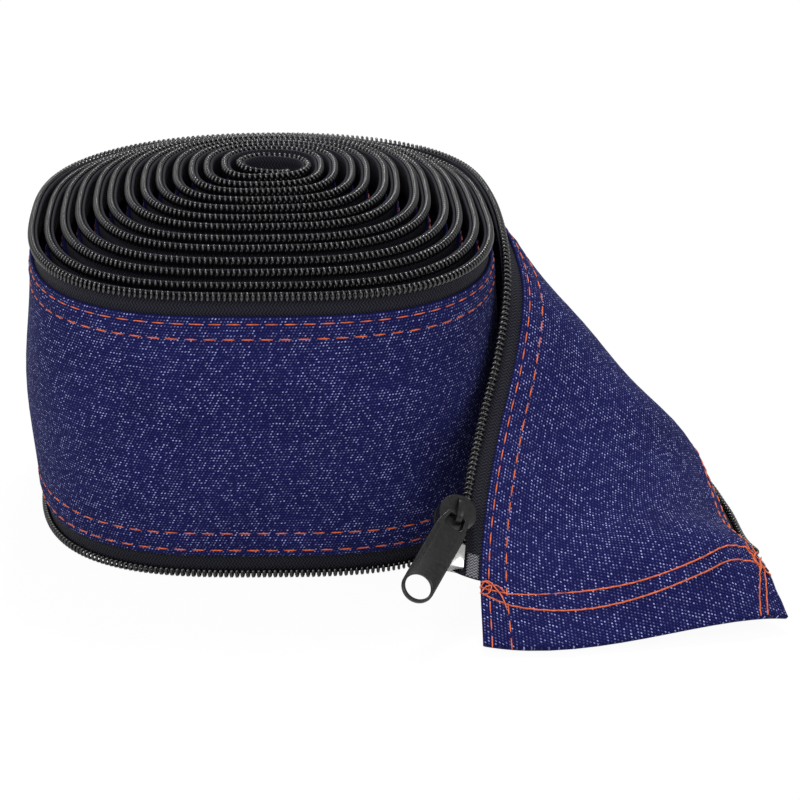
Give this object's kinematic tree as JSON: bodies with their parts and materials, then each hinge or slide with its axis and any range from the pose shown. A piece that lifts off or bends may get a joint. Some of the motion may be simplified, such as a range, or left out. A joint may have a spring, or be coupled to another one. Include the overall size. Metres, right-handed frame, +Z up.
{
  "type": "zippered cable sleeve",
  "caption": "Denim cable sleeve with a coil zipper along its edges, unzipped, rolled up on edge, its free end flared out on the table.",
  "frame": {"origin": "centre of the bounding box in plan, on the plane the roll stands on", "axes": "+Z up along the roll's axis; the free end flares out to +X and comes down towards -Y, the front"},
  "size_m": [0.2328, 0.1872, 0.1111],
  "materials": {
    "denim": "matt indigo twill with orange double stitching",
    "tape": "matt black woven tape",
    "coil": "satin black nylon coil",
    "black_metal": "satin black lacquer",
    "nickel": "bright nickel plate",
    "film": "glossy clear film over black tape"
  },
  "bodies": {
    "sleeve": {"denim_strip": "denim", "zipper_tape_upper": "tape", "zipper_tape_lower": "tape", "zipper_coil_upper": "coil", "zipper_coil_lower": "coil", "retainer_box": "nickel", "tape_film_upper": "film", "tape_film_lower": "film", "top_stop_upper": "nickel", "top_stop_lower": "nickel", "insertion_pin": "nickel"},
    "slider": {"slider_body": "black_metal"},
    "pull_tab": {"pull_tab": "black_metal"}
  },
  "joints": [
    {"name": "slider_slide", "type": "slide", "parent": "sleeve", "child": "slider", "axis": [0.1338, 0.775, 0.6176], "range_m": [-0.0025, 0.005]},
    {"name": "tab_hinge", "type": "hinge", "parent": "slider", "child": "pull_tab", "pos_m": [0.01854, -0.06548, 0.0314], "axis": [-0.8437, 0.1855, 0.5038], "range_deg": [0, 120]}
  ]
}
